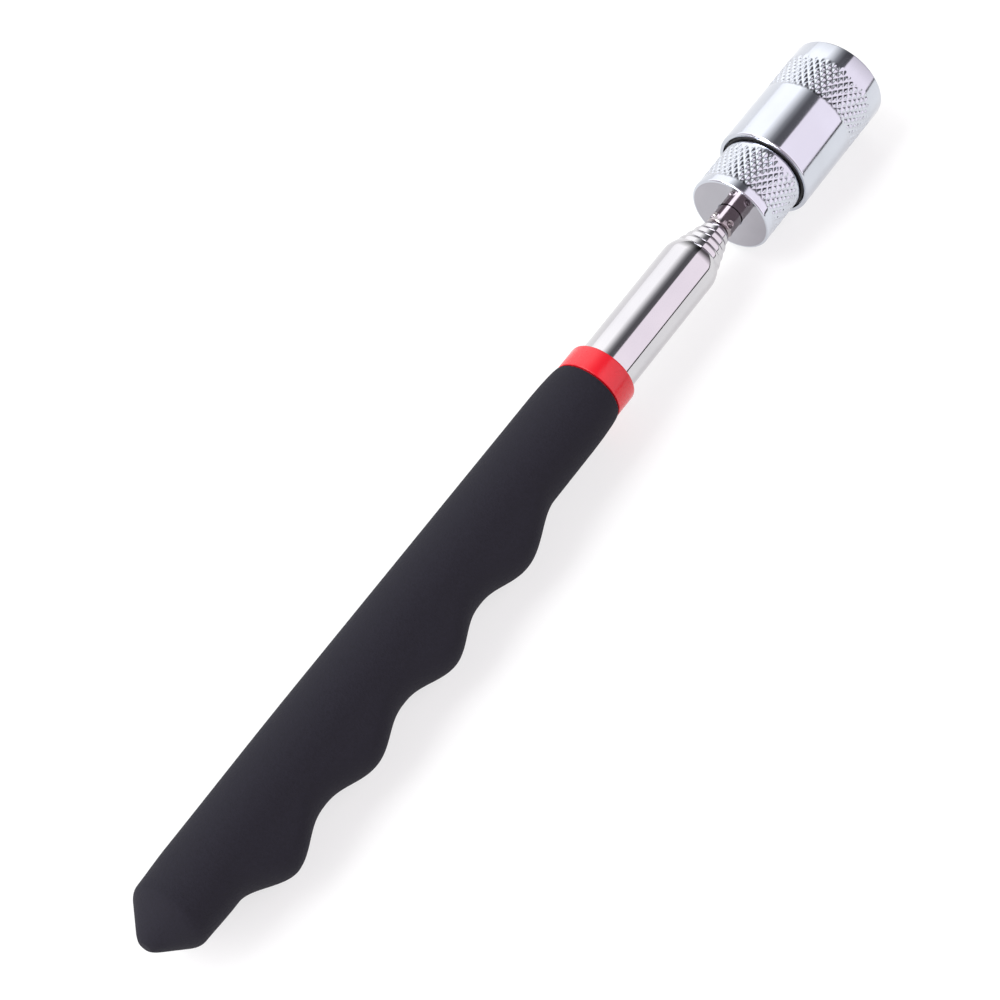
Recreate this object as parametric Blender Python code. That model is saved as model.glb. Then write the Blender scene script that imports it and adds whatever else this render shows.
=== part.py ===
"""Telescopic magnetic pickup tool: foam grip, six nested sections and a swivelling magnet head.

The tool lies along +X with its head at +X. Lengths below are in millimetres: x runs from the tail tip,
and r is measured from the tool's axis. Objects are made in metres, centred on X, with the lowest
point on Z = 0.
"""

import math

import bmesh
import bpy
from mathutils import Matrix, Vector

MM = 0.001

# Whole tool
LENGTH = 190.0
HEAD_R = 8.5

# Smoothness of round pieces: every polygon has a flat side pointing down
SEGMENTS = 32
AXIS_Z = HEAD_R * math.cos(math.pi / SEGMENTS)
# The humps reach further than the head, so the axis stands this far to +Y of the overall middle
AXIS_Y = 0.93

# Foam grip
FOAM_R = 6.5
FOAM_FRONT_X = 113.1
FOAM_BORE_R = 5.05
FOAM_BORE_X = 5.0
FOAM_COUNTERBORE_R = 5.65
FOAM_COUNTERBORE_X = 106.0
FOAM_FRONT_ROUNDING = 8.0
FOAM_FRONT_DROP = 0.55
HUMP_ANGLE = math.radians(18.0)
HUMP_START_X = 13.6
HUMP_FIRST_X = 22.8
HUMP_PITCH = 20.2
HUMP_REACH = (10.55, 10.2, 10.25, 9.65)
VALLEY_REACH = (7.8, 7.7, 7.45)
HUMP_END_X = 94.8
HUMP_SHARPNESS = 1.2
TAIL_NUB_LENGTH = 0.9
TAIL_NUB_R = 1.38
TAIL_CONE_SLOPE = 0.93
TAIL_BODY_R = 6.25
TAIL_ROUNDING = 0.9
TAIL_SHIFT = 0.28
TAIL_SHIFT_START_X = 8.0
TAIL_SHIFT_END_X = 43.0
FOAM_STATIONS = 56
FOAM_SEGMENTS = 36

# Red collar
COLLAR_R = 6.0
COLLAR_REAR_X = 113.4
COLLAR_FRONT_X = 117.9
COLLAR_SLEEVE_R = 5.5
COLLAR_SLEEVE_X = 106.5
COLLAR_BORE_R = 5.05

# Telescopic sections: outside radius and front end of each, from the fixed outer tube inwards
TUBE_R = (4.95, 4.1, 3.6, 3.1, 2.55)
TUBE_TIP_X = (144.9, 146.55, 148.2, 149.85, 151.5)
OUTER_TUBE_REAR_X = 6.5
TUBE_WALL = 0.25
OUTER_NOSE_LENGTH = 2.4
SECTION_NOSE_LENGTH = 0.8
CRIMP_LENGTH = 1.7
LIP_THICKNESS = 0.18
ROD_R = 2.0
NOSE_CLEARANCE = 0.08
TIP_TO_NEXT_REAR = 130.9
FLARE_LENGTH = 0.5
RUNNING_CLEARANCE = 0.06
BUSH_LENGTH = 8.0
BUSH_SLOT_ANGLE = math.radians(22.5)

# Tail plug
PLUG_HEAD_REAR_X = 5.3
PLUG_HEAD_FRONT_X = 6.3
PLUG_FRONT_X = 13.5
PLUG_R = 4.6

# Ball swivel at the head's stem
CAP_REAR_X = 155.75
BALL_X = 154.4
BALL_R = 1.55
ROD_NECK_R = 0.75
STEM_MOUTH_X = 151.85
STEM_R = 2.25
STEM_MOUTH_CHAMFER = 0.45
SOCKET_R = 1.7
SOCKET_END_X = 156.1
DIMPLE_X = 153.0
DIMPLE_COUNT = 4
DIMPLE_REACH_R = 1.25

# Rear cap of the head
CAP_R = 7.3
CAP_FRONT_X = 165.9
CAP_FLOOR_X = 157.6
CAP_BORE_R = 6.2
NECK_R = 6.7
NECK_FRONT_X = 172.6
THREAD_PITCH = 1.0
THREAD_DEPTH = 0.25
THREAD_TURNS = 4
THREAD_FIRST_X = 168.2

# O-ring in the shell's mouth
ORING_X = 166.6
ORING_R = 7.2
ORING_SECTION_R = 0.5
ORING_GROOVE_R = 6.65

# Front shell
SHELL_REAR_X = 166.2
SHELL_MOUTH_R = 7.78
SHELL_MOUTH_X = 167.6
SHELL_THREAD_R = 6.8
SHELL_THREAD_X = 173.4
SHELL_BORE_R = 6.2
MAGNET_SEAT_X = 184.5
MAGNET_SEAT_R = 7.25
SHELL_CHAMFER = 0.4

# Battery pack
CELL_R = 5.8
CELL_LENGTH = 5.1
CELL_PITCH = 5.25
CELL_COUNT = 4
CELL_FIRST_X = 160.3
CELL_CAP_R = 4.6
CELL_STEP = 0.9
SLEEVE_INNER_R = 5.86
SLEEVE_OUTER_R = 6.1
SPRING_REAR_X = 157.9
SPRING_FRONT_X = 160.0
SPRING_WIRE_R = 0.22
SPRING_WIDE_R = 4.6
SPRING_NARROW_R = 2.0
SPRING_TURNS = 3.0

# Lamp and magnet
PAD_REAR_X = 181.35
PAD_FRONT_X = 181.75
PAD_R = 2.2
BOARD_REAR_X = 182.0
BOARD_FRONT_X = 183.0
BOARD_R = 6.0
LED_FLANGE_X = 183.2
LED_FLANGE_R = 2.85
LED_FLANGE_LENGTH = 0.9
LED_R = 2.45
LED_TIP_X = 189.4
MAGNET_REAR_X = 184.7
MAGNET_R = 7.1
MAGNET_HOLE_R = 2.75
MAGNET_CHAMFER = 0.2


def clear_scene():
    for obj in list(bpy.data.objects):
        bpy.data.objects.remove(obj, do_unlink=True)


def make_material(name, color, metallic, roughness):
    material = bpy.data.materials.new(name)
    material.use_nodes = True
    shader = material.node_tree.nodes["Principled BSDF"]
    shader.inputs["Base Color"].default_value = (*color, 1.0)
    shader.inputs["Metallic"].default_value = metallic
    shader.inputs["Roughness"].default_value = roughness
    return material


def finish_object(name, bm, origin_x, material, smooth_angle=35.0):
    """Turns a mesh drawn in tool millimetres into an object with its origin on the axis at origin_x."""
    bmesh.ops.remove_doubles(bm, verts=bm.verts, dist=1e-5)
    bmesh.ops.recalc_face_normals(bm, faces=bm.faces)
    bmesh.ops.transform(bm, matrix=Matrix.Translation((-origin_x, 0, 0)), verts=bm.verts)
    bmesh.ops.scale(bm, vec=(MM, MM, MM), verts=bm.verts)
    limit = math.radians(smooth_angle)
    for face in bm.faces:
        face.smooth = True
    for edge in bm.edges:
        edge.smooth = len(edge.link_faces) == 2 and edge.calc_face_angle(0.0) < limit
    mesh = bpy.data.meshes.new(name)
    bm.to_mesh(mesh)
    bm.free()
    mesh.materials.append(material)
    obj = bpy.data.objects.new(name, mesh)
    obj.location = ((origin_x - LENGTH / 2) * MM, AXIS_Y * MM, AXIS_Z * MM)
    bpy.context.scene.collection.objects.link(obj)
    return obj


def spin_profile(bm, profile, closed, segments=SEGMENTS):
    """Turns (x, r) points about the X axis. A closed profile makes a ring, an open one ends on the axis."""
    start = math.pi / segments
    verts = [bm.verts.new((x, r * math.sin(start), -r * math.cos(start))) for x, r in profile]
    edges = [bm.edges.new(pair) for pair in zip(verts, verts[1:])]
    if closed:
        edges.append(bm.edges.new((verts[-1], verts[0])))
    bmesh.ops.spin(
        bm,
        geom=verts + edges,
        axis=(1, 0, 0),
        cent=(0, 0, 0),
        angle=math.tau,
        steps=segments,
        use_merge=True,
    )
    bmesh.ops.remove_doubles(bm, verts=bm.verts, dist=1e-5)


def turned(name, profile, material, closed=True, origin_x=None):
    bm = bmesh.new()
    spin_profile(bm, profile, closed)
    return finish_object(name, bm, profile[0][0] if origin_x is None else origin_x, material)


def apply_boolean(target, cutter, operation):
    """Adds an exact Boolean to target and keeps the cutter out of the render."""
    cutter.hide_render = True
    cutter.display_type = "WIRE"
    modifier = target.modifiers.new(cutter.name, "BOOLEAN")
    modifier.operation = operation
    modifier.solver = "EXACT"
    modifier.object = cutter


def smooth_step(value):
    value = min(1.0, max(0.0, value))
    return value * value * (3 - 2 * value)


# Foam grip


def smooth_min(first, second, blend):
    share = min(1.0, max(0.0, 0.5 + 0.5 * (second - first) / blend))
    return second * (1 - share) + first * share - blend * share * (1 - share)


def back_radius(x):
    """Radius of the grip's back: a small nub, a wide cone, then the body with a rounded front edge."""
    nub = 0.7 + 0.3 * math.sqrt(1 - (1 - min(x / TAIL_NUB_LENGTH, 1.0)) ** 2)
    cone = TAIL_NUB_R + TAIL_CONE_SLOPE * x
    body = TAIL_BODY_R + (FOAM_R - TAIL_BODY_R) * smooth_step((x - 5.0) / 8.0)
    edge = max(0.0, x - FOAM_FRONT_X + FOAM_FRONT_ROUNDING) / FOAM_FRONT_ROUNDING
    front = FOAM_FRONT_DROP * (1 - math.sqrt(1 - min(edge, 1.0) ** 2))
    return nub * smooth_min(cone, body, TAIL_ROUNDING) - front


def tail_shift(x):
    """The tail end bends slightly towards the finger side."""
    share = (x - TAIL_SHIFT_START_X) / (TAIL_SHIFT_END_X - TAIL_SHIFT_START_X)
    return TAIL_SHIFT * (1 - smooth_step(share))


def hump_reach(x):
    """How far the grip reaches from the axis on its finger side."""
    first = HUMP_FIRST_X
    last = first + (len(HUMP_REACH) - 1) * HUMP_PITCH
    position = (min(max(x, first), last) - first) / HUMP_PITCH
    index = min(int(position), len(VALLEY_REACH) - 1)
    peak = HUMP_REACH[index] + (HUMP_REACH[index + 1] - HUMP_REACH[index]) * (position - index)
    wave = 0.5 + 0.5 * math.cos(math.tau * position)
    reach = VALLEY_REACH[index] + (peak - VALLEY_REACH[index]) * wave ** HUMP_SHARPNESS
    if x < first:
        reach = FOAM_R + (peak - FOAM_R) * smooth_step((x - HUMP_START_X) / (first - HUMP_START_X))
    if x > last:
        reach = FOAM_R + (peak - FOAM_R) * smooth_step((HUMP_END_X - x) / (HUMP_END_X - last))
    return reach


def grip_section(x):
    """Outline of the grip at x: the hull of a circle on the axis and a smaller one inside the hump."""
    back_r = back_radius(x)
    extra = max(0.0, hump_reach(x) - FOAM_R)
    offset = extra / (1 - math.sin(HUMP_ANGLE))
    lobe_r = back_r + extra - offset
    hump_side = Vector((0, -math.cos(HUMP_ANGLE), -math.sin(HUMP_ANGLE)))
    center = hump_side * offset
    shift = hump_side * tail_shift(x)
    outline = []
    for step in range(FOAM_SEGMENTS):
        angle = math.tau * (step + 0.5) / FOAM_SEGMENTS
        facing = Vector((0, math.sin(angle), -math.cos(angle)))
        lobe = facing.dot(center) + lobe_r > back_r
        point = center + facing * lobe_r if lobe else facing * back_r
        outline.append(Vector((x, 0, 0)) + point + shift)
    return outline


def make_foam_grip(material):
    bm = bmesh.new()
    spacing = [step / FOAM_STATIONS for step in range(FOAM_STATIONS + 1)]
    stations = [FOAM_FRONT_X * (t - 0.75 * t * (1 - t) ** 4) for t in spacing]
    rings = [[bm.verts.new(point) for point in grip_section(x)] for x in stations]
    bore = [
        (FOAM_FRONT_X, FOAM_COUNTERBORE_R),
        (FOAM_COUNTERBORE_X, FOAM_COUNTERBORE_R),
        (FOAM_COUNTERBORE_X, FOAM_BORE_R),
        (FOAM_BORE_X, FOAM_BORE_R),
    ]
    for x, r in bore:
        angles = [math.tau * (step + 0.5) / FOAM_SEGMENTS for step in range(FOAM_SEGMENTS)]
        rings.append([bm.verts.new((x, r * math.sin(a), -r * math.cos(a))) for a in angles])
    for near, far in zip(rings, rings[1:]):
        for step in range(FOAM_SEGMENTS):
            after = (step + 1) % FOAM_SEGMENTS
            bm.faces.new((near[step], near[after], far[after], far[step]))
    bm.faces.new(rings[0])
    bm.faces.new(rings[-1])
    return finish_object("foam_grip", bm, FOAM_BORE_X, material, smooth_angle=40.0)


def make_red_collar(material):
    edge = 0.35
    profile = [
        (COLLAR_SLEEVE_X, COLLAR_BORE_R),
        (COLLAR_SLEEVE_X, COLLAR_SLEEVE_R),
        (COLLAR_REAR_X, COLLAR_SLEEVE_R),
        (COLLAR_REAR_X, COLLAR_R - 0.15),
        (COLLAR_REAR_X + 0.15, COLLAR_R),
        (COLLAR_FRONT_X - edge, COLLAR_R),
        (COLLAR_FRONT_X - edge * 0.3, COLLAR_R - edge * 0.3),
        (COLLAR_FRONT_X, COLLAR_R - edge),
        (COLLAR_FRONT_X, COLLAR_BORE_R),
    ]
    return turned("red_collar", profile, material)


def make_tail_plug(material):
    profile = [
        (PLUG_HEAD_REAR_X, 0),
        (PLUG_HEAD_REAR_X, 4.4),
        (PLUG_HEAD_REAR_X + 0.3, 4.7),
        (PLUG_HEAD_FRONT_X, 4.7),
        (PLUG_HEAD_FRONT_X, PLUG_R),
        (PLUG_FRONT_X - 0.6, PLUG_R),
        (PLUG_FRONT_X, PLUG_R - 0.6),
        (PLUG_FRONT_X, 0),
    ]
    return turned("tail_plug", profile, material, closed=False)


# Telescopic sections


def next_radius(index):
    return TUBE_R[index + 1] if index + 1 < len(TUBE_R) else ROD_R


def rear_x(index):
    """Rear end of a section: 0 is the outer tube and the last one is the rod."""
    return OUTER_TUBE_REAR_X if index == 0 else TUBE_TIP_X[index - 1] - TIP_TO_NEXT_REAR


def bush_inner_radius(index):
    """Inside radius of the tube that section index slides in."""
    return TUBE_R[index - 1] - TUBE_WALL


def nose_curve(tip, nose, outer, end_r, steps=4):
    """Arc that leaves the tube's side smoothly and falls to end_r at the tip."""
    drop = outer - end_r
    arc_r = (nose**2 + drop**2) / (2 * drop)
    along = [nose * step / steps for step in range(steps + 1)]
    return [(tip - nose + a, outer - arc_r + math.sqrt(arc_r**2 - a**2)) for a in along]


def make_tube(name, index, material):
    """Thin tube with a crimped nose; every moving tube also has a flared rear end for its bush."""
    outer = TUBE_R[index]
    inner = outer - TUBE_WALL
    tip = TUBE_TIP_X[index]
    hole = next_radius(index) + NOSE_CLEARANCE
    nose = SECTION_NOSE_LENGTH if index else OUTER_NOSE_LENGTH
    inner_nose = nose - 0.15 if index else CRIMP_LENGTH
    rear = rear_x(index)
    profile = [
        (tip, hole),
        (tip - 0.35, hole),
        (tip - inner_nose * 0.75, inner - (inner - hole) * 0.35),
        (tip - inner_nose, inner),
        (rear, inner),
    ]
    if index:
        flare = bush_inner_radius(index) - RUNNING_CLEARANCE
        profile += [(rear, flare), (rear + FLARE_LENGTH, flare), (rear + FLARE_LENGTH, outer)]
    else:
        profile += [(rear, outer)]
    profile += nose_curve(tip, nose, outer, hole + LIP_THICKNESS)
    return turned(name, profile, material, origin_x=tip)


def make_bush(name, index, section_r, material):
    """Split brass sleeve on a section's rear end. It rubs in the tube outside and stops at its nose."""
    inner = section_r + 0.05
    outer = bush_inner_radius(index) - RUNNING_CLEARANCE
    start = rear_x(index) + FLARE_LENGTH + 0.1
    slot_steps = round(BUSH_SLOT_ANGLE / (math.tau / SEGMENTS))
    bm = bmesh.new()
    sections = []
    for step in range(slot_steps // 2, SEGMENTS + 1 - slot_steps // 2):
        angle = math.tau * (step + 0.5) / SEGMENTS
        side = Vector((0, math.sin(angle), -math.cos(angle)))
        ring = []
        for x, r in ((0, inner), (0, outer), (BUSH_LENGTH, outer), (BUSH_LENGTH, inner)):
            ring.append(bm.verts.new(side * r + Vector((start + x, 0, 0))))
        sections.append(ring)
    for near, far in zip(sections, sections[1:]):
        for corner in range(4):
            after = (corner + 1) % 4
            bm.faces.new((near[corner], near[after], far[after], far[corner]))
    bm.faces.new(sections[0])
    bm.faces.new(sections[-1])
    return finish_object(name, bm, start, material)


def make_rod(material):
    """Innermost section: a solid rod with a flared rear end, a thin neck and the swivel's ball."""
    rear = rear_x(len(TUBE_R))
    shoulder = TUBE_TIP_X[-1]
    flare = bush_inner_radius(len(TUBE_R)) - RUNNING_CLEARANCE
    profile = [
        (rear, 0),
        (rear, flare),
        (rear + FLARE_LENGTH, flare),
        (rear + FLARE_LENGTH, ROD_R),
        (shoulder - 0.25, ROD_R),
        (shoulder, ROD_R - 0.25),
        (shoulder, ROD_NECK_R),
    ]
    first = math.asin(ROD_NECK_R / BALL_R)
    rings = 9
    for step in range(rings + 1):
        angle = first + (math.pi - first) * step / rings
        profile.append((BALL_X - BALL_R * math.cos(angle), BALL_R * math.sin(angle)))
    profile[-1] = (BALL_X + BALL_R, 0)
    return turned("inner_rod", profile, material, closed=False, origin_x=BALL_X)


# Head


def make_rear_cap(material):
    """Cap that screws into the shell, with the hollow stem that holds the ball."""
    profile = [
        (SOCKET_END_X, 0),
        (SOCKET_END_X, 0.9),
        (SOCKET_END_X - 0.5, SOCKET_R),
        (STEM_MOUTH_X, SOCKET_R),
        (STEM_MOUTH_X, STEM_R - STEM_MOUTH_CHAMFER),
        (STEM_MOUTH_X + STEM_MOUTH_CHAMFER, STEM_R),
        (CAP_REAR_X, STEM_R),
        (CAP_REAR_X, CAP_R - 0.3),
        (CAP_REAR_X + 0.3, CAP_R),
        (CAP_FRONT_X - 0.15, CAP_R),
        (CAP_FRONT_X, CAP_R - 0.15),
        (CAP_FRONT_X, ORING_GROOVE_R),
        (ORING_X + ORING_SECTION_R + 0.1, ORING_GROOVE_R),
    ]
    for turn in range(THREAD_TURNS):
        x = THREAD_FIRST_X + turn * THREAD_PITCH
        profile += [
            (x - 0.5 * THREAD_PITCH, NECK_R - THREAD_DEPTH),
            (x - 0.12, NECK_R),
            (x + 0.12, NECK_R),
        ]
    profile += [
        (THREAD_FIRST_X + (THREAD_TURNS - 0.5) * THREAD_PITCH, NECK_R - THREAD_DEPTH),
        (NECK_FRONT_X, NECK_R - THREAD_DEPTH),
        (NECK_FRONT_X, CAP_BORE_R),
        (CAP_FLOOR_X, CAP_BORE_R),
        (CAP_FLOOR_X, 0),
    ]
    cap = turned("rear_cap", profile, material, closed=False, origin_x=BALL_X)
    for index in range(DIMPLE_COUNT):
        angle = math.tau * (index + 0.5) / DIMPLE_COUNT
        apply_boolean(cap, make_dimple_tool(f"dimple_bump_{index + 1}", angle, 0.62, 1.0), "UNION")
        apply_boolean(cap, make_dimple_tool(f"dimple_pit_{index + 1}", angle, 0.4, 0.0), "DIFFERENCE")
    return cap


def make_dimple_tool(name, angle, radius, inward):
    """Small cone across the stem's wall: a bump that narrows inwards, or the pit that the punch leaves."""
    bump = inward > 0
    inner_r = DIMPLE_REACH_R if bump else DIMPLE_REACH_R + 0.4
    outer_r = STEM_R - 0.2 if bump else STEM_R + 0.5
    bm = bmesh.new()
    bmesh.ops.create_cone(
        bm,
        cap_ends=True,
        segments=12,
        radius1=radius * 0.55 if bump else radius * 0.3,
        radius2=radius if bump else radius * 1.25,
        depth=outer_r - inner_r,
    )
    bmesh.ops.translate(bm, vec=(0, 0, (outer_r + inner_r) / 2), verts=bm.verts)
    turn = Matrix.Translation((DIMPLE_X, 0, 0)) @ Matrix.Rotation(angle, 4, "X")
    bmesh.ops.transform(bm, matrix=turn, verts=bm.verts)
    return finish_object(name, bm, DIMPLE_X, bpy.data.materials["chrome_plated"])


def make_o_ring(material):
    points = 12
    profile = []
    for step in range(points):
        angle = math.tau * step / points
        r = ORING_R + ORING_SECTION_R * math.sin(angle)
        profile.append((ORING_X + ORING_SECTION_R * math.cos(angle), r))
    return turned("o_ring", profile, material, origin_x=ORING_X)


def make_front_shell(material):
    c = SHELL_CHAMFER
    profile = [
        (SHELL_REAR_X, SHELL_MOUTH_R),
        (SHELL_REAR_X, HEAD_R - c),
        (SHELL_REAR_X + c * 0.3, HEAD_R - c * 0.3),
        (SHELL_REAR_X + c, HEAD_R),
        (LENGTH - c, HEAD_R),
        (LENGTH - c * 0.3, HEAD_R - c * 0.3),
        (LENGTH, HEAD_R - c),
        (LENGTH, MAGNET_SEAT_R),
        (MAGNET_SEAT_X, MAGNET_SEAT_R),
        (MAGNET_SEAT_X, SHELL_BORE_R),
        (SHELL_THREAD_X, SHELL_BORE_R),
        (SHELL_THREAD_X, SHELL_THREAD_R),
        (SHELL_MOUTH_X, SHELL_THREAD_R),
        (SHELL_MOUTH_X, SHELL_MOUTH_R),
    ]
    return turned("front_shell", profile, material)


def make_battery_cell(index, material):
    """Button cell: a wide can with a narrower cap towards the lamp."""
    rear = CELL_FIRST_X + index * CELL_PITCH
    front = rear + CELL_LENGTH
    profile = [
        (rear, 0),
        (rear, CELL_R - 0.3),
        (rear + 0.3, CELL_R),
        (front - CELL_STEP - 0.3, CELL_R),
        (front - CELL_STEP, CELL_R - 0.3),
        (front - CELL_STEP, CELL_CAP_R),
        (front, CELL_CAP_R - 0.2),
        (front, 0),
    ]
    return turned(f"battery_cell_{index + 1}", profile, material, closed=False)


def make_battery_sleeve(material):
    rear = CELL_FIRST_X + 0.1
    front = CELL_FIRST_X + CELL_COUNT * CELL_PITCH - 0.4
    profile = [
        (rear, SLEEVE_INNER_R),
        (rear, SLEEVE_OUTER_R),
        (front, SLEEVE_OUTER_R),
        (front, SLEEVE_INNER_R),
    ]
    return turned("battery_sleeve", profile, material)


def make_contact_spring(material):
    """Conical spring on the cap's floor: a round wire swept along a narrowing helix."""
    steps = 54
    ring_points = 6
    bm = bmesh.new()
    rings = []
    for step in range(steps + 1):
        t = step / steps
        angle = math.tau * SPRING_TURNS * t
        helix_r = SPRING_WIDE_R + (SPRING_NARROW_R - SPRING_WIDE_R) * t
        rise = SPRING_FRONT_X - SPRING_REAR_X - 2 * SPRING_WIRE_R
        x = SPRING_REAR_X + SPRING_WIRE_R + rise * t
        outward = Vector((0, math.cos(angle), math.sin(angle)))
        ring = []
        for corner in range(ring_points):
            turn = math.tau * corner / ring_points
            offset = outward * math.cos(turn) + Vector((1, 0, 0)) * math.sin(turn)
            ring.append(bm.verts.new(Vector((x, 0, 0)) + outward * helix_r + offset * SPRING_WIRE_R))
        rings.append(ring)
    for near, far in zip(rings, rings[1:]):
        for corner in range(ring_points):
            after = (corner + 1) % ring_points
            bm.faces.new((near[corner], near[after], far[after], far[corner]))
    bm.faces.new(rings[0])
    bm.faces.new(rings[-1])
    return finish_object("contact_spring", bm, SPRING_REAR_X, material, smooth_angle=70.0)


def make_contact_pad(material):
    profile = [(PAD_REAR_X, 0), (PAD_REAR_X, PAD_R), (PAD_FRONT_X, PAD_R), (PAD_FRONT_X, 0)]
    return turned("contact_pad", profile, material, closed=False)


def make_led_board(material):
    profile = [(BOARD_REAR_X, 0), (BOARD_REAR_X, BOARD_R), (BOARD_FRONT_X, BOARD_R), (BOARD_FRONT_X, 0)]
    return turned("led_board", profile, material, closed=False)


def make_led(material):
    """Round lamp with a rim at its base and a domed tip."""
    profile = [
        (LED_FLANGE_X, 0),
        (LED_FLANGE_X, LED_FLANGE_R),
        (LED_FLANGE_X + LED_FLANGE_LENGTH, LED_FLANGE_R),
        (LED_FLANGE_X + LED_FLANGE_LENGTH, LED_R),
    ]
    dome_steps = 7
    for step in range(dome_steps):
        angle = math.pi / 2 * step / dome_steps
        profile.append((LED_TIP_X - LED_R + LED_R * math.sin(angle), LED_R * math.cos(angle)))
    profile.append((LED_TIP_X, 0))
    return turned("led", profile, material, closed=False)


def make_ring_magnet(material):
    c = MAGNET_CHAMFER
    profile = [
        (MAGNET_REAR_X, MAGNET_HOLE_R + c),
        (MAGNET_REAR_X, MAGNET_R - c),
        (MAGNET_REAR_X + c, MAGNET_R),
        (LENGTH - c, MAGNET_R),
        (LENGTH, MAGNET_R - c),
        (LENGTH, MAGNET_HOLE_R + c),
        (LENGTH - c, MAGNET_HOLE_R),
        (MAGNET_REAR_X + c, MAGNET_HOLE_R),
    ]
    return turned("ring_magnet", profile, material)


def build_handle(chrome):
    make_foam_grip(make_material("black_foam", (0.02, 0.02, 0.024), 0.0, 0.9))
    make_red_collar(make_material("red_plastic", (0.65, 0.02, 0.03), 0.0, 0.3))
    make_tube("outer_tube", 0, chrome)
    make_tail_plug(make_material("black_plastic", (0.03, 0.03, 0.03), 0.0, 0.5))


def build_sections(chrome):
    brass = make_material("brass_bush", (0.72, 0.5, 0.22), 1.0, 0.35)
    for index in range(1, len(TUBE_R)):
        make_tube(f"section_tube_{index + 1}", index, chrome)
        make_bush(f"friction_bush_{index + 1}", index, TUBE_R[index], brass)
    make_bush(f"friction_bush_{len(TUBE_R) + 1}", len(TUBE_R), ROD_R, brass)
    make_rod(chrome)


def build_head(chrome):
    make_rear_cap(chrome)
    make_o_ring(make_material("black_rubber", (0.012, 0.012, 0.012), 0.0, 0.6))
    make_contact_spring(make_material("spring_steel", (0.6, 0.6, 0.6), 1.0, 0.3))
    cell_steel = make_material("cell_steel", (0.62, 0.62, 0.6), 1.0, 0.3)
    for index in range(CELL_COUNT):
        make_battery_cell(index, cell_steel)
    make_battery_sleeve(make_material("white_plastic", (0.8, 0.8, 0.78), 0.0, 0.5))
    make_contact_pad(make_material("brass_pad", (0.75, 0.55, 0.25), 1.0, 0.3))
    make_led_board(make_material("board_green", (0.03, 0.2, 0.08), 0.0, 0.5))
    make_led(make_material("clear_lens", (0.9, 0.93, 0.95), 0.0, 0.05))
    make_ring_magnet(make_material("magnet_nickel", (0.66, 0.64, 0.6), 1.0, 0.2))
    make_front_shell(chrome)


clear_scene()
chrome_plated = make_material("chrome_plated", (0.82, 0.82, 0.84), 1.0, 0.08)
build_handle(chrome_plated)
build_sections(chrome_plated)
build_head(chrome_plated)
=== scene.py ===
"""Studio scene for the telescopic magnetic pickup tool.

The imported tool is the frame: it lies along +X with its head at +X. This script replaces its visible
pieces with finely shaped ones, gives every piece a procedural finish and lights it like a white
studio table. Lengths in the profiles are millimetres: x runs from the tail tip and r is measured
from the tool's axis. The picture shows nothing inside the head and not its front, so the lamp, the
cells and the magnet's face are inferred.
"""

import math

import bmesh
import bpy
from mathutils import Euler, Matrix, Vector


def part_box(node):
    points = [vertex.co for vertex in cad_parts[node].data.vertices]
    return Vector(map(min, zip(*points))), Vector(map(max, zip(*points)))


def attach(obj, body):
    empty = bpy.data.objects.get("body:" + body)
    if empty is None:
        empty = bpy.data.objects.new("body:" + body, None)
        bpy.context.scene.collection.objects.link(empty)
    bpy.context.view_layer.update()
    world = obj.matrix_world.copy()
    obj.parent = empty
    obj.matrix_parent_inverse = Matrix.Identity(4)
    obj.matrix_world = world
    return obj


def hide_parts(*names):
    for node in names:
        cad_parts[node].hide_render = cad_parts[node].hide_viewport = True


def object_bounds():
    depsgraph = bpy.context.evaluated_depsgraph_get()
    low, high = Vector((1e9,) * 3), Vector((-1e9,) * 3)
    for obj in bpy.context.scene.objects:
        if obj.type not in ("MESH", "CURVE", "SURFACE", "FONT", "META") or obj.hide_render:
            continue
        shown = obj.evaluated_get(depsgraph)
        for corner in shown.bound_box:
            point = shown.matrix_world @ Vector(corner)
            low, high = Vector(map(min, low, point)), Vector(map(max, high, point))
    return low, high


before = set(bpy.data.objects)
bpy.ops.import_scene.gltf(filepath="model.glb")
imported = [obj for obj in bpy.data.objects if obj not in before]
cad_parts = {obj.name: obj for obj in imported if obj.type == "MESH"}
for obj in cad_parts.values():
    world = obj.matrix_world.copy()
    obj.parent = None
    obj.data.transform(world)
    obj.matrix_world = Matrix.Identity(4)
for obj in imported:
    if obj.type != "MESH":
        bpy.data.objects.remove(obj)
cad_low, cad_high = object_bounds()

MM = 0.001
LENGTH = 190.0
HEAD_R = 8.5
FINE = 128

shell_low, shell_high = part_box("front_shell")
AXIS_Y = (shell_low.y + shell_high.y) / 2
AXIS_Z = (shell_low.z + shell_high.z) / 2
ORIGIN_X = shell_high.x - LENGTH * MM


# Materials


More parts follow.
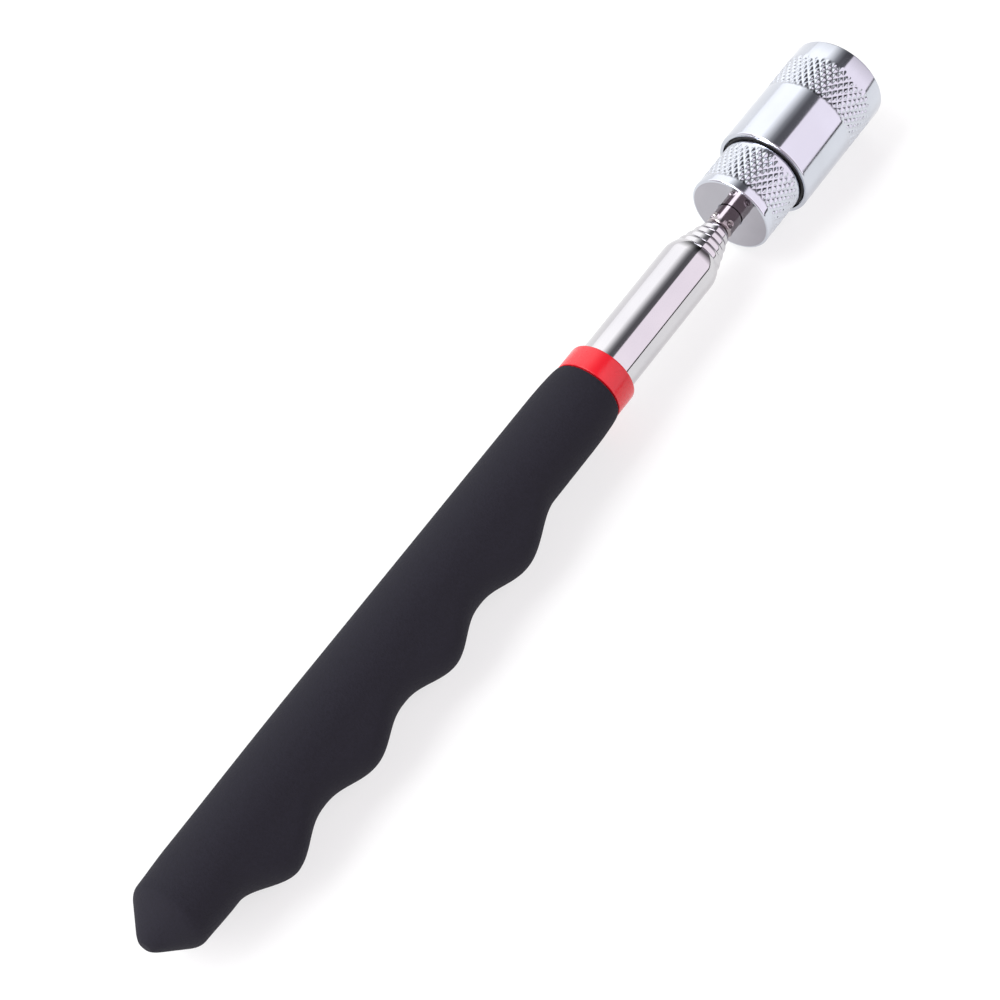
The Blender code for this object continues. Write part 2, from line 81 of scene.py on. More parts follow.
class Finish:
    """A Principled material with short helpers to add and join procedural nodes."""

    def __init__(self, name, color, metallic=0.0, roughness=0.5):
        self.material = bpy.data.materials.new(name)
        self.material.use_nodes = True
        self.tree = self.material.node_tree
        self.shader = self.tree.nodes["Principled BSDF"]
        self.shader.inputs["Base Color"].default_value = (*color, 1.0)
        self.shader.inputs["Metallic"].default_value = metallic
        self.shader.inputs["Roughness"].default_value = roughness
        self.place = self.tree.nodes.new("ShaderNodeTexCoord").outputs["Object"]

    def node(self, kind, **settings):
        node = self.tree.nodes.new(kind)
        for name, value in settings.items():
            setattr(node, name, value)
        return node

    def join(self, output, target):
        self.tree.links.new(output, target)

    def noise(self, scale, stretch=(1, 1, 1), detail=3.0, roughness=0.55):
        """Noise in the tool's own space. The scale is in features per metre."""
        mapping = self.node("ShaderNodeMapping")
        mapping.inputs["Scale"].default_value = stretch
        self.join(self.place, mapping.inputs["Vector"])
        noise = self.node("ShaderNodeTexNoise")
        noise.inputs["Scale"].default_value = scale
        noise.inputs["Detail"].default_value = detail
        noise.inputs["Roughness"].default_value = roughness
        self.join(mapping.outputs["Vector"], noise.inputs["Vector"])
        return noise.outputs["Fac"]

    def spread(self, value, low, high, from_low=0.35, from_high=0.65):
        """Maps a noise to the range low to high."""
        spread = self.node("ShaderNodeMapRange")
        spread.inputs["From Min"].default_value = from_low
        spread.inputs["From Max"].default_value = from_high
        spread.inputs["To Min"].default_value = low
        spread.inputs["To Max"].default_value = high
        self.join(value, spread.inputs["Value"])
        return spread.outputs["Result"]

    def mix(self, factor, first, second):
        mix = self.node("ShaderNodeMix", data_type="RGBA")
        mix.inputs["A"].default_value = (*first, 1.0)
        mix.inputs["B"].default_value = (*second, 1.0)
        self.join(factor, mix.inputs["Factor"])
        return mix.outputs["Result"]

    def color_from(self, output):
        self.join(output, self.shader.inputs["Base Color"])

    def roughness_from(self, output):
        self.join(output, self.shader.inputs["Roughness"])

    def bump(self, height, strength, distance):
        bump = self.node("ShaderNodeBump")
        bump.inputs["Strength"].default_value = strength
        bump.inputs["Distance"].default_value = distance
        self.join(height, bump.inputs["Height"])
        self.join(bump.outputs["Normal"], self.shader.inputs["Normal"])


def chrome_finish(name, light, dark, roughness):
    """Polished plate: faint cloudy tint, uneven polish and fine lengthwise polishing marks."""
    finish = Finish(name, light, 1.0, roughness)
    clouds = finish.noise(110, detail=2.0)
    finish.color_from(finish.mix(finish.spread(clouds, 0.0, 1.0), light, dark))
    marks = finish.noise(900, stretch=(0.06, 1, 1), detail=4.0)
    finish.roughness_from(finish.spread(marks, roughness * 0.7, roughness * 1.5))
    finish.bump(marks, 0.05, 0.00001)
    return finish.material


def foam_finish():
    """Closed-cell foam: a fine matt grain in two near-black tones."""
    finish = Finish("foam", (0.014, 0.014, 0.018), 0.0, 0.82)
    grain = finish.noise(2600, detail=3.0, roughness=0.7)
    dark, pale = (0.011, 0.0105, 0.0155), (0.018, 0.0175, 0.0245)
    finish.color_from(finish.mix(finish.spread(grain, 0.0, 1.0), dark, pale))
    finish.roughness_from(finish.spread(grain, 0.7, 0.95))
    finish.bump(grain, 0.55, 0.00018)
    finish.shader.inputs["Specular IOR Level"].default_value = 0.16
    return finish.material


def plastic_finish(name, light, dark, roughness, grain=600):
    """Moulded plastic: slight tone changes and a faint orange-peel surface."""
    finish = Finish(name, light, 0.0, roughness)
    tone = finish.spread(finish.noise(160, detail=2.0), 0.0, 1.0)
    finish.color_from(finish.mix(tone, light, dark))
    peel = finish.noise(grain, detail=2.0)
    finish.roughness_from(finish.spread(peel, roughness * 0.85, roughness * 1.2))
    finish.bump(peel, 0.06, 0.00002)
    return finish.material


def lens_finish():
    """Water-clear resin of the lamp, faintly cloudy."""
    finish = Finish("clear_resin", (0.93, 0.95, 0.97), 0.0, 0.06)
    finish.shader.inputs["Transmission Weight"].default_value = 0.85
    finish.shader.inputs["IOR"].default_value = 1.5
    cloud = finish.noise(500, detail=2.0)
    finish.roughness_from(finish.spread(cloud, 0.03, 0.1))
    finish.color_from(finish.mix(cloud, (0.95, 0.96, 0.98), (0.86, 0.9, 0.93)))
    return finish.material


def make_finishes():
    return {
        "tube": chrome_finish("polished_tube", (0.575, 0.565, 0.58), (0.545, 0.535, 0.555), 0.07),
        "head": chrome_finish("polished_head", (0.58, 0.605, 0.66), (0.55, 0.57, 0.62), 0.09),
        # The cap's rear face is the head's metal made darker: painted shade for the shadowed floor that the
        # face mirrors.
        "face": chrome_finish("face_painted_shade", (0.42, 0.41, 0.445), (0.39, 0.38, 0.415), 0.06),
        "stem": chrome_finish("dull_stem", (0.43, 0.40, 0.41), (0.30, 0.27, 0.28), 0.12),
        "foam": foam_finish(),
        "red": plastic_finish("red_plastic_finish", (0.62, 0.01, 0.02), (0.57, 0.009, 0.018), 0.24),
        "rubber": plastic_finish("rubber_finish", (0.003, 0.003, 0.004), (0.005, 0.005, 0.006), 0.6, 1500),
        "black_plastic": plastic_finish("plug_finish", (0.02, 0.02, 0.022), (0.03, 0.03, 0.032), 0.45),
        "brass": chrome_finish("brass_finish", (0.68, 0.47, 0.2), (0.58, 0.39, 0.16), 0.3),
        "spring": chrome_finish("spring_finish", (0.55, 0.55, 0.54), (0.45, 0.45, 0.45), 0.25),
        "cell": chrome_finish("cell_finish", (0.6, 0.6, 0.58), (0.52, 0.52, 0.5), 0.25),
        "magnet": chrome_finish("magnet_finish", (0.6, 0.58, 0.54), (0.52, 0.5, 0.47), 0.18),
        "sleeve": plastic_finish("sleeve_finish", (0.75, 0.75, 0.73), (0.68, 0.68, 0.66), 0.45),
        "board": plastic_finish("board_finish", (0.02, 0.16, 0.06), (0.015, 0.12, 0.045), 0.35, 1200),
        "lens": lens_finish(),
    }


# Meshes


def point(x, r, angle):
    """A point at x, r and angle round the axis. Angle 0 points down and 90 degrees to +Y."""
    return Vector(
        (
            ORIGIN_X + x * MM,
            AXIS_Y + r * MM * math.sin(angle),
            AXIS_Z - r * MM * math.cos(angle),
        )
    )


def add_object(name, bm, material, body, cad_nodes, sharp=35.0):
    """Makes a shown piece from bm, rides it on its body and lets it stand for the CAD nodes."""
    bmesh.ops.remove_doubles(bm, verts=bm.verts, dist=1e-8)
    bmesh.ops.recalc_face_normals(bm, faces=bm.faces)
    limit = math.radians(sharp)
    for face in bm.faces:
        face.smooth = True
    for edge in bm.edges:
        edge.smooth = len(edge.link_faces) == 2 and edge.calc_face_angle(0.0) < limit
    mesh = bpy.data.meshes.new(name)
    bm.to_mesh(mesh)
    bm.free()
    mesh.materials.append(material)
    obj = bpy.data.objects.new(name, mesh)
    bpy.context.scene.collection.objects.link(obj)
    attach(obj, body)
    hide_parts(*cad_nodes)
    return obj


def lathe(bm, profile, closed=True, segments=FINE):
    """Turns (x, r) points about the axis. An open profile starts and ends on the axis."""
    rings = []
    for x, r in profile:
        if r < 1e-6:
            rings.append([bm.verts.new(point(x, 0, 0))])
        else:
            rings.append([bm.verts.new(point(x, r, math.tau * k / segments)) for k in range(segments)])
    pairs = list(zip(rings, rings[1:]))
    if closed:
        pairs.append((rings[-1], rings[0]))
    for near, far in pairs:
        for k in range(segments):
            after = (k + 1) % segments
            if len(near) == 1:
                bm.faces.new((near[0], far[after], far[k]))
            elif len(far) == 1:
                bm.faces.new((near[k], near[after], far[0]))
            else:
                bm.faces.new((near[k], near[after], far[after], far[k]))


def rounded(corners, closed=True):
    """Rounds the corners of a profile. Each corner is (x, r) or (x, r, radius)."""
    points = []
    count = len(corners)
    for index, corner in enumerate(corners):
        here = Vector(corner[:2])
        if len(corner) < 3 or (not closed and index in (0, count - 1)):
            points.append(tuple(here))
            continue
        before = (Vector(corners[index - 1][:2]) - here).normalized()
        after = (Vector(corners[(index + 1) % count][:2]) - here).normalized()
        half = before.angle(after) / 2
        reach = corner[2] / math.tan(half)
        center = here + (before + after).normalized() * (corner[2] / math.sin(half))
        first = here + before * reach - center
        last = here + after * reach - center
        turn = first.angle_signed(last)
        steps = 5
        for step in range(steps + 1):
            angle = -turn * step / steps
            cos, sin = math.cos(angle), math.sin(angle)
            spoke = Vector((first.x * cos - first.y * sin, first.x * sin + first.y * cos))
            points.append(tuple(center + spoke))
    return points


def add_knurl(bm, x_start, x_end, r, depth, count, pitch):
    """Covers a band with crossed spiral grooves, which fade out at both edges of the band."""
    fine = 12
    step = pitch / fine
    columns = round((x_end - x_start) / step)
    around = count * fine
    rings = []
    for column in range(columns + 1):
        x = x_start + (x_end - x_start) * column / columns
        edge = min(x - x_start, x_end - x)
        share = smooth_step(edge / (0.6 * pitch))
        ring = []
        for place in range(around):
            crossing = ((place + column) / fine, (place - column) / fine)
            near = min(abs(turns - round(turns)) for turns in crossing)
            groove = 1 - smooth_step(near / 0.5)
            ring.append(bm.verts.new(point(x, r - depth * share * groove, math.tau * place / around)))
        rings.append(ring)
    for near_ring, far_ring in zip(rings, rings[1:]):
        for place in range(around):
            after = (place + 1) % around
            bm.faces.new((near_ring[place], near_ring[after], far_ring[after], far_ring[place]))


# Foam grip

FOAM_R = 6.5
FOAM_FRONT_X = 113.1
FOAM_BORE = ((113.0, 5.65), (106.0, 5.65), (106.0, 5.05), (5.0, 5.05))
FRONT_ROUNDING = 8.0
FRONT_DROP = 0.55
HUMP_ANGLE = math.radians(18.0)
HUMP_START_X = 13.6
HUMP_FIRST_X = 22.8
HUMP_PITCH = 20.2
HUMP_REACH = (10.55, 10.2, 10.25, 9.65)
VALLEY_REACH = (7.8, 7.7, 7.45)
HUMP_END_X = 94.8
NUB_LENGTH = 0.9
CONE_TIP_R = 1.38
CONE_SLOPE = 0.93
BODY_REAR_R = 6.25
FRONT_FINE_LENGTH = 2.0
TAIL_BEND = 0.28


def smooth_step(value):
    value = min(1.0, max(0.0, value))
    return value * value * (3 - 2 * value)


def smooth_min(first, second, blend):
    share = min(1.0, max(0.0, 0.5 + 0.5 * (second - first) / blend))
    return second * (1 - share) + first * share - blend * share * (1 - share)


def back_radius(x):
    """Radius of the grip's back: a nub, a cone, then the straight body with a rounded front."""
    nub = 0.7 + 0.3 * math.sqrt(1 - (1 - min(x / NUB_LENGTH, 1.0)) ** 2)
    cone = CONE_TIP_R + CONE_SLOPE * x
    body = BODY_REAR_R + (FOAM_R - BODY_REAR_R) * smooth_step((x - 5.0) / 8.0)
    edge = max(0.0, x - FOAM_FRONT_X + FRONT_ROUNDING) / FRONT_ROUNDING
    drop = FRONT_DROP * (1 - math.sqrt(max(0.0, 1 - edge * edge)))
    return nub * smooth_min(cone, body, 0.9) - drop


def tail_shift(x):
    """The tail end bends slightly towards the finger side."""
    bend = TAIL_BEND * (1 - smooth_step((x - 8.0) / 35.0)) * MM
    return Vector((0, -bend * math.cos(HUMP_ANGLE), -bend * math.sin(HUMP_ANGLE)))


def hump_reach(x):
    """How far the grip reaches from the axis on its finger side."""
    first = HUMP_FIRST_X
    last = first + (len(HUMP_REACH) - 1) * HUMP_PITCH
    position = (min(max(x, first), last) - first) / HUMP_PITCH
    index = min(int(position), len(VALLEY_REACH) - 1)
    peak = HUMP_REACH[index] + (HUMP_REACH[index + 1] - HUMP_REACH[index]) * (position - index)
    wave = 0.5 + 0.5 * math.cos(math.tau * position)
    reach = VALLEY_REACH[index] + (peak - VALLEY_REACH[index]) * wave**1.2
    if x < first:
        reach = FOAM_R + (peak - FOAM_R) * smooth_step((x - HUMP_START_X) / (first - HUMP_START_X))
    if x > last:
        reach = FOAM_R + (peak - FOAM_R) * smooth_step((HUMP_END_X - x) / (HUMP_END_X - last))
    return reach


def grip_radius(x, angle):
    """Distance from the axis to the grip's skin: the hull of the back circle and the hump's smaller one."""
    back = back_radius(x)
    extra = max(0.0, hump_reach(x) - FOAM_R)
    offset = extra / (1 - math.sin(HUMP_ANGLE))
    lobe = back + extra - offset
    away = abs((angle - (1.5 * math.pi + HUMP_ANGLE) + math.pi) % math.tau - math.pi)
    if offset < 1e-6:
        return back
    lean = math.acos(max(-1.0, min(1.0, (back - lobe) / offset)))
    lobe_edge = math.atan2(lobe * math.sin(lean), offset + lobe * math.cos(lean))
    if away <= lobe_edge:
        return offset * math.cos(away) + math.sqrt(max(0.0, lobe**2 - (offset * math.sin(away)) ** 2))
    if away >= lean:
        return back
    return back / math.cos(lean - away)


def make_foam_grip(finishes):
    around = 144
    along = 420
    middle_length = FOAM_FRONT_X - NUB_LENGTH - FRONT_FINE_LENGTH
    front_start = FOAM_FRONT_X - FRONT_FINE_LENGTH
    tail = [NUB_LENGTH * (k / 10) ** 2 for k in range(10)]
    middle = [NUB_LENGTH + middle_length * k / along for k in range(along + 1)]
    front = [front_start + FRONT_FINE_LENGTH * math.sin(math.pi / 2 * k / 12) for k in range(1, 13)]
    bm = bmesh.new()
    rings = []
    for x in tail + middle + front:
        angles = [math.tau * k / around for k in range(around)]
        shift = tail_shift(x)
        rings.append([bm.verts.new(point(x, grip_radius(x, a), a) + shift) for a in angles])
    for x, r in FOAM_BORE:
        rings.append([bm.verts.new(point(x, r, math.tau * k / around)) for k in range(around)])
    for near, far in zip(rings, rings[1:]):
        for k in range(around):
            after = (k + 1) % around
            bm.faces.new((near[k], near[after], far[after], far[k]))
    bm.faces.new(rings[0])
    bm.faces.new(rings[-1])
    grip = add_object("grip_foam", bm, finishes["foam"], "handle", ["foam_grip"], 50.0)


# Collar and tubes

TUBE_R = (4.95, 4.1, 3.6, 3.1, 2.55)
TUBE_TIP_X = (144.9, 146.55, 148.2, 149.85, 151.5)
TUBE_WALL = 0.25
LIP_THICKNESS = 0.18
ROD_R = 2.0
NOSE_CLEARANCE = 0.08
TIP_TO_NEXT_REAR = 130.9
OUTER_REAR_X = 6.5
OUTER_NOSE_LENGTH = 2.4
SECTION_NOSE_LENGTH = 0.8
OUTER_CRIMP_LENGTH = 1.7
SECTION_CRIMP_LENGTH = 0.65
LIP_LENGTH = 0.35
RUNNING_CLEARANCE = 0.06
FLARE_LENGTH = 0.5
ROD_FLARE_R = 2.24
ROD_NECK_R = 0.75
BALL_X = 154.4
BALL_R = 1.55
BALL_STEPS = 16


def make_red_collar(finishes):
    profile = rounded(
        [
            (106.5, 5.05),
            (106.5, 5.5),
            (113.4, 5.5),
            (113.4, 6.0, 0.12),
            (117.9, 6.0, 0.35),
            (117.9, 5.05, 0.1),
        ]
    )
    bm = bmesh.new()
    lathe(bm, profile)
    add_object("collar_red", bm, finishes["red"], "handle", ["red_collar"])


def nose_curve(tip, nose, outer, end_r, steps=12):
    """Arc that leaves the tube's side smoothly and falls to end_r at the tip."""
    drop = outer - end_r
    arc_r = (nose**2 + drop**2) / (2 * drop)
    along = [nose * step / steps for step in range(steps + 1)]
    return [(tip - nose + a, outer - arc_r + math.sqrt(arc_r**2 - a**2)) for a in along]


def tube_profile(index):
    """Thin tube with a softly crimped nose; the moving ones have a flared rear end."""
    outer = TUBE_R[index]
    inner = outer - TUBE_WALL
    tip = TUBE_TIP_X[index]
    below = TUBE_R[index + 1] if index + 1 < len(TUBE_R) else ROD_R
    hole = below + NOSE_CLEARANCE
    nose = SECTION_NOSE_LENGTH if index else OUTER_NOSE_LENGTH
    crimp = SECTION_CRIMP_LENGTH if index else OUTER_CRIMP_LENGTH
    rear = TUBE_TIP_X[index - 1] - TIP_TO_NEXT_REAR if index else OUTER_REAR_X
    corners = [
        (tip, hole),
        (tip - LIP_LENGTH, hole, 0.1),
        (tip - crimp, inner, 0.2),
        (rear, inner),
    ]
    if index:
        flare = TUBE_R[index - 1] - TUBE_WALL - RUNNING_CLEARANCE
        corners += [(rear, flare), (rear + FLARE_LENGTH, flare), (rear + FLARE_LENGTH, outer)]
    else:
        corners += [(rear, outer)]
    return rounded(corners) + nose_curve(tip, nose, outer, hole + LIP_THICKNESS)


def make_tubes(finishes):
    for index in range(len(TUBE_R)):
        bm = bmesh.new()
        lathe(bm, tube_profile(index))
        node = "outer_tube" if index == 0 else f"section_tube_{index + 1}"
        body = "handle" if index == 0 else f"section_{index + 1}"
        add_object(f"tube_chrome_{index + 1}", bm, finishes["tube"], body, [node])


def make_rod(finishes):
    """Inner rod with its flared rear end and the swivel's ball, which is inferred."""
    rear = TUBE_TIP_X[-1] - TIP_TO_NEXT_REAR
    shoulder = TUBE_TIP_X[-1]
    profile = [
        (rear, 0),
        (rear, ROD_FLARE_R),
        (rear + FLARE_LENGTH, ROD_FLARE_R),
        (rear + FLARE_LENGTH, ROD_R),
        (shoulder - 0.25, ROD_R),
        (shoulder, ROD_R - 0.25),
        (shoulder, ROD_NECK_R),
    ]
    first = math.asin(ROD_NECK_R / BALL_R)
    for step in range(BALL_STEPS + 1):
        angle = first + (math.pi - first) * step / BALL_STEPS
        profile.append((BALL_X - BALL_R * math.cos(angle), abs(BALL_R * math.sin(angle))))
    profile[-1] = (BALL_X + BALL_R, 0)
    bm = bmesh.new()
    lathe(bm, profile, closed=False)
    add_object("rod_chrome", bm, finishes["tube"], "rod", ["inner_rod"])


# Head

CAP_REAR_X = 155.75
CAP_R = 7.3
CAP_FRONT_X = 165.9
CAP_KNURL = (157.2, 165.3)
SHELL_REAR_X = 166.03
SHELL_KNURL = (178.9, 186.6)
KNURL_DEPTH = 0.2
KNURL_PITCH = 1.8
KNURL_OVERLAP = 0.1
CAP_DIAMONDS = 38
SHELL_DIAMONDS = 44
STEM_R = 2.25
STEM_MOUTH_X = 151.85
DIMPLE_X = 153.0
DIMPLE_COUNT = 4
STEM_BORE_R = 1.7
STEM_EDGE = 0.42
STEM_STEP = 0.08
FACE_INSET = 0.5
FACE_THICKNESS = 0.45
FACE_CLEARANCE = 0.16
CAP_FLOOR_X = 157.6
CELL_BORE_R = 6.2
ORING_GROOVE_R = 6.65
ORING_LAND_X = 167.2
ORING_X = 166.6
ORING_R = 7.2
ORING_SECTION_R = 0.5
THREAD_FIRST_X = 168.2
THREAD_TURNS = 4
THREAD_END_X = 171.7
THREAD_ROOT_R = 6.45
THREAD_TOP_R = 6.7
NECK_FRONT_X = 172.6
SHELL_MOUTH_R = 7.78
SHELL_MOUTH_X = 167.6
SHELL_THREAD_R = 6.8
SHELL_LEDGE_X = 173.4
MAGNET_SEAT_X = 184.5
MAGNET_SEAT_R = 7.25
MAGNET_REAR_X = 184.7
MAGNET_R = 7.1
MAGNET_HOLE_R = 2.75


def stem_radius(x, angle):
    """Outside of the stem, pressed in round each of its four punched dimples."""
    radius = STEM_R
    for index in range(DIMPLE_COUNT):
        center = math.tau * (index + 0.5) / DIMPLE_COUNT
        across = ((angle - center + math.pi) % math.tau - math.pi) * STEM_R
        far = math.hypot(x - DIMPLE_X, across)
        pit = 0.5 * math.exp(-((far / 0.42) ** 4))
        rim = 0.07 * math.exp(-(((far - 0.7) / 0.15) ** 2))
        radius -= pit - rim
    return radius


def make_stem():
    """Hollow stem that holds the ball, with its rear edge rounded."""
    segments = 96
    angles = [math.tau * k / segments for k in range(segments)]
    bm = bmesh.new()
    count = int((CAP_REAR_X - STEM_MOUTH_X - STEM_EDGE) / STEM_STEP)
    stations = [STEM_MOUTH_X + STEM_EDGE + STEM_STEP * k for k in range(count)]
    end = CAP_REAR_X + FACE_INSET
    rings = []
    for x, r in (
        (end, STEM_BORE_R),
        (STEM_MOUTH_X, STEM_BORE_R),
        (STEM_MOUTH_X, STEM_R - 0.4),
        (STEM_MOUTH_X + 0.07, STEM_R - 0.24),
        (STEM_MOUTH_X + 0.2, STEM_R - 0.09),
    ):
        rings.append([bm.verts.new(point(x, r, a)) for a in angles])
    for x in stations:
        rings.append([bm.verts.new(point(x, stem_radius(x, a), a)) for a in angles])
    rings.append([bm.verts.new(point(end, STEM_R, a)) for a in angles])
    for near, far in zip(rings, rings[1:] + rings[:1]):
        for k in range(segments):
            after = (k + 1) % segments
            bm.faces.new((near[k], near[after], far[after], far[k]))
    return bm


def make_rear_cap(finishes):
    start, end = CAP_KNURL
    floor = CAP_R - KNURL_DEPTH - KNURL_OVERLAP
    face_r = CAP_R - 0.42
    corners = [
        (CAP_REAR_X + FACE_INSET, 0),
        (CAP_REAR_X + FACE_INSET, face_r),
        (CAP_REAR_X, face_r),
        (CAP_REAR_X, CAP_R, 0.38),
        (start, CAP_R),
        (start, floor),
        (end, floor),
        (end, CAP_R),
        (CAP_FRONT_X, CAP_R, 0.12),
        (CAP_FRONT_X, ORING_GROOVE_R),
        (ORING_LAND_X, ORING_GROOVE_R),
    ]
    for turn in range(THREAD_TURNS):
        x = THREAD_FIRST_X + turn
        corners += [
            (x - 0.5, THREAD_ROOT_R),
            (x - 0.1, THREAD_TOP_R, 0.05),
            (x + 0.1, THREAD_TOP_R, 0.05),
        ]
    corners += [
        (THREAD_END_X, THREAD_ROOT_R),
        (NECK_FRONT_X, THREAD_ROOT_R),
        (NECK_FRONT_X, CELL_BORE_R),
        (CAP_FLOOR_X, CELL_BORE_R),
        (CAP_FLOOR_X, 0),
    ]
    bm = bmesh.new()
    lathe(bm, rounded(corners, closed=False), closed=False)
    add_knurl(bm, start, end, CAP_R, KNURL_DEPTH, CAP_DIAMONDS, KNURL_PITCH)
    add_object("cap_knurled", bm, finishes["head"], "head_rear", ["rear_cap"], 50.0)
    groove_r = STEM_R + FACE_CLEARANCE
    face = bmesh.new()
    back = CAP_REAR_X + FACE_THICKNESS
    outline = [(CAP_REAR_X, groove_r), (CAP_REAR_X, face_r), (back, face_r), (back, groove_r)]
    lathe(face, outline)
    # The face gets the darker copy of the head's metal, which is painted shade.
    add_object("cap_face", face, finishes["face"], "head_rear", ["rear_cap"])
    stem = make_stem()
    add_object("stem_dimpled", stem, finishes["stem"], "head_rear", ["rear_cap"], 40.0)


def make_o_ring(finishes):
    profile = []
    for step in range(24):
        angle = math.tau * step / 24
        x = ORING_X + ORING_SECTION_R * math.cos(angle)
        profile.append((x, ORING_R + ORING_SECTION_R * math.sin(angle)))
    bm = bmesh.new()
    lathe(bm, profile)
    add_object("seal_ring", bm, finishes["rubber"], "head_rear", ["o_ring"], 60.0)


def make_front_shell(finishes):
    start, end = SHELL_KNURL
    floor = HEAD_R - KNURL_DEPTH - KNURL_OVERLAP
    corners = [
        (SHELL_REAR_X, SHELL_MOUTH_R, 0.1),
        (SHELL_REAR_X, HEAD_R, 0.4),
        (start, HEAD_R),
        (start, floor),
        (end, floor),
        (end, HEAD_R),
        (LENGTH, HEAD_R, 0.3),
        (LENGTH, MAGNET_SEAT_R, 0.15),
        (MAGNET_SEAT_X, MAGNET_SEAT_R),
        (MAGNET_SEAT_X, CELL_BORE_R),
        (SHELL_LEDGE_X, CELL_BORE_R),
        (SHELL_LEDGE_X, SHELL_THREAD_R),
        (SHELL_MOUTH_X, SHELL_THREAD_R),
        (SHELL_MOUTH_X, SHELL_MOUTH_R),
    ]
    bm = bmesh.new()
    lathe(bm, rounded(corners))
    add_knurl(bm, start, end, HEAD_R, KNURL_DEPTH, SHELL_DIAMONDS, KNURL_PITCH)
    add_object("shell_knurled", bm, finishes["head"], "head_front", ["front_shell"], 50.0)


def make_magnet(finishes):
    corners = [
        (MAGNET_REAR_X, MAGNET_HOLE_R, 0.2),
        (MAGNET_REAR_X, MAGNET_R, 0.2),
        (LENGTH, MAGNET_R, 0.2),
        (LENGTH, MAGNET_HOLE_R, 0.2),
    ]
    bm = bmesh.new()
    lathe(bm, rounded(corners))
    add_object("magnet_ring", bm, finishes["magnet"], "head_front", ["ring_magnet"])


def finish_cad_nodes(finishes):
    """Gives every carried-over CAD node its own finish."""
    chosen = {
        "tail_plug": "black_plastic",
        "contact_spring": "spring",
        "battery_sleeve": "sleeve",
        "contact_pad": "brass",
        "led_board": "board",
        "led": "lens",
    }
    chosen.update({f"friction_bush_{k}": "brass" for k in range(2, 7)})
    chosen.update({f"battery_cell_{k}": "cell" for k in range(1, 5)})
    for name, finish in chosen.items():
        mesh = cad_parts[name].data
        mesh.materials.clear()
        mesh.materials.append(finishes[finish])


# Studio

CAMERA_LENS = 107.32
CAMERA_PLACE = (-0.20663, -0.12602, 0.39917)
CAMERA_TURN = (31.2894, -1.1614, -55.7650)


def make_floor():
    finish = Finish("studio_floor", (0.36, 0.37, 0.36), 0.0, 0.9)
    tone = finish.spread(finish.noise(3, detail=2.0), 0.0, 1.0)
    finish.color_from(finish.mix(tone, (0.36, 0.37, 0.36), (0.35, 0.36, 0.353)))
    finish.shader.inputs["Specular IOR Level"].default_value = 0.0
    finish.shader.inputs["Emission Color"].default_value = (1.0, 1.0, 1.0, 1.0)
    finish.shader.inputs["Emission Strength"].default_value = 0.63
    bm = bmesh.new()
    bmesh.ops.create_grid(bm, x_segments=1, y_segments=1, size=3.0)
    mesh = bpy.data.meshes.new("floor")
    bm.to_mesh(mesh)
    bm.free()
    mesh.materials.append(finish.material)
    floor = bpy.data.objects.new("floor", mesh)
    floor.location = (0, 0, cad_low.z)
    bpy.context.scene.collection.objects.link(floor)


def fill_ramp(ramp, stops):
    """Sets the colours of a ramp whose ends stand for -180 and 180 degrees."""
    elements = ramp.color_ramp.elements
    while len(elements) < len(stops):
        elements.new(0.5)
    for element, (degrees, color) in zip(elements, stops):
        element.position = (degrees + 180) / 360
        element.color = (*color, 1.0)


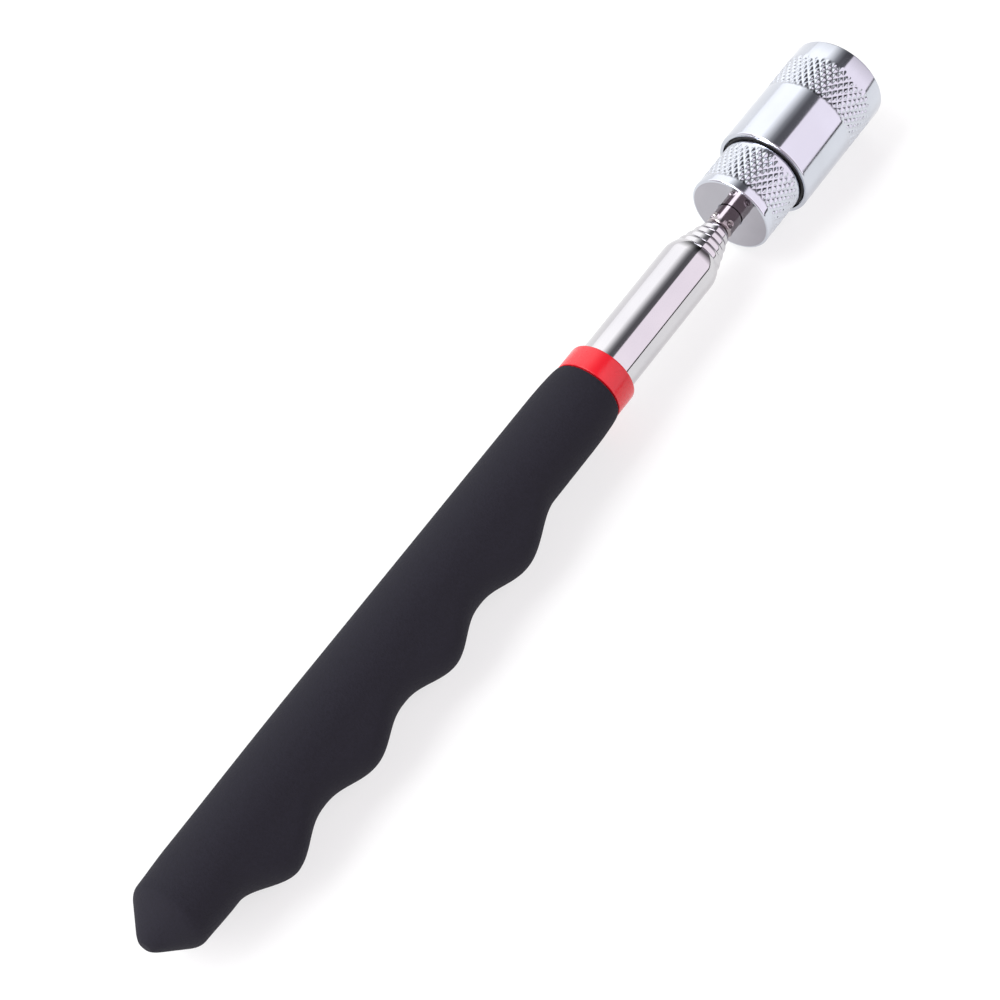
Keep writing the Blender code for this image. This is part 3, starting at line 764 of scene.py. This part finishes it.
def make_world():
    """A light tent round the X axis, seen as an angle from overhead towards +Y.

    It is white on +Y and pinkish on -Y, with a dark gap overhead. The +X end is dark, and the -X end is dim
    apart from one bright strip. The camera sees plain white past the floor.
    """
    world = bpy.data.worlds.new("studio")
    world.use_nodes = True
    tree = world.node_tree
    background = tree.nodes["Background"]
    direction = tree.nodes.new("ShaderNodeTexCoord")
    parts = tree.nodes.new("ShaderNodeSeparateXYZ")
    tree.links.new(direction.outputs["Generated"], parts.inputs["Vector"])

    def along_x(start, end, first, last):
        share = tree.nodes.new("ShaderNodeMapRange")
        for name, value in zip(("From Min", "From Max", "To Min", "To Max"), (start, end, first, last)):
            share.inputs[name].default_value = value
        tree.links.new(parts.outputs["X"], share.inputs["Value"])
        return share.outputs["Result"]

    turn = tree.nodes.new("ShaderNodeMath")
    turn.operation = "ARCTAN2"
    tree.links.new(parts.outputs["Y"], turn.inputs[0])
    tree.links.new(parts.outputs["Z"], turn.inputs[1])
    share = tree.nodes.new("ShaderNodeMapRange")
    share.inputs["From Min"].default_value = -math.pi
    share.inputs["From Max"].default_value = math.pi
    tree.links.new(turn.outputs[0], share.inputs["Value"])
    pink = (0.74, 0.675, 0.74)
    gap = (0.075, 0.073, 0.08)
    line = (0.02, 0.02, 0.02)
    below = (0.2, 0.2, 0.2)
    white = (0.89, 0.89, 0.9)
    dim = (0.068, 0.058, 0.064)
    sides = [
        (-180, below),
        (-91, below),
        (-90, line),
        (-85.5, line),
        (-85, pink),
        (-12, pink),
        (-11, gap),
        (5, gap),
        (14.5, (0.19, 0.19, 0.2)),
        (25, (0.5, 0.5, 0.51)),
        (38, white),
        (70, white),
        (88, (0.8, 0.8, 0.81)),
        (92, below),
        (180, below),
    ]
    strip = [(-180, dim), (17, dim), (22, white), (49, white), (54, dim), (180, dim)]
    mixed = tree.nodes.new("ShaderNodeMix")
    mixed.data_type = "RGBA"
    tree.links.new(along_x(-0.3, -0.05, 1.0, 0.0), mixed.inputs["Factor"])
    for stops, target in ((sides, "A"), (strip, "B")):
        ramp = tree.nodes.new("ShaderNodeValToRGB")
        fill_ramp(ramp, stops)
        tree.links.new(share.outputs["Result"], ramp.inputs["Fac"])
        tree.links.new(ramp.outputs["Color"], mixed.inputs[target])
    tree.links.new(mixed.outputs["Result"], background.inputs["Color"])
    strength = tree.nodes.new("ShaderNodeMath")
    strength.operation = "MULTIPLY"
    tree.links.new(along_x(0.62, 0.9, 1.9, 0.2), strength.inputs[0])
    tree.links.new(along_x(-0.3, -0.05, 5.0, 1.0), strength.inputs[1])
    tree.links.new(strength.outputs["Value"], background.inputs["Strength"])
    backdrop = tree.nodes.new("ShaderNodeBackground")
    backdrop.inputs["Color"].default_value = (1.0, 1.0, 1.0, 1.0)
    seen = tree.nodes.new("ShaderNodeLightPath")
    choice = tree.nodes.new("ShaderNodeMixShader")
    tree.links.new(seen.outputs["Is Camera Ray"], choice.inputs[0])
    tree.links.new(background.outputs["Background"], choice.inputs[1])
    tree.links.new(backdrop.outputs["Background"], choice.inputs[2])
    tree.links.new(choice.outputs["Shader"], tree.nodes["World Output"].inputs["Surface"])
    bpy.context.scene.world = world


def make_camera():
    data = bpy.data.cameras.new("camera")
    data.lens = CAMERA_LENS
    data.sensor_width = 36.0
    data.clip_start = 0.01
    data.clip_end = 20.0
    camera = bpy.data.objects.new("camera", data)
    camera.location = CAMERA_PLACE
    camera.rotation_euler = Euler(tuple(math.radians(a) for a in CAMERA_TURN))
    bpy.context.scene.collection.objects.link(camera)
    bpy.context.scene.camera = camera


def main():
    finishes = make_finishes()
    finish_cad_nodes(finishes)
    make_foam_grip(finishes)
    make_red_collar(finishes)
    make_tubes(finishes)
    make_rod(finishes)
    make_rear_cap(finishes)
    make_o_ring(finishes)
    make_front_shell(finishes)
    make_magnet(finishes)
    make_floor()
    make_world()
    make_camera()
    view = bpy.context.scene.view_settings
    view.view_transform = "Standard"


main()
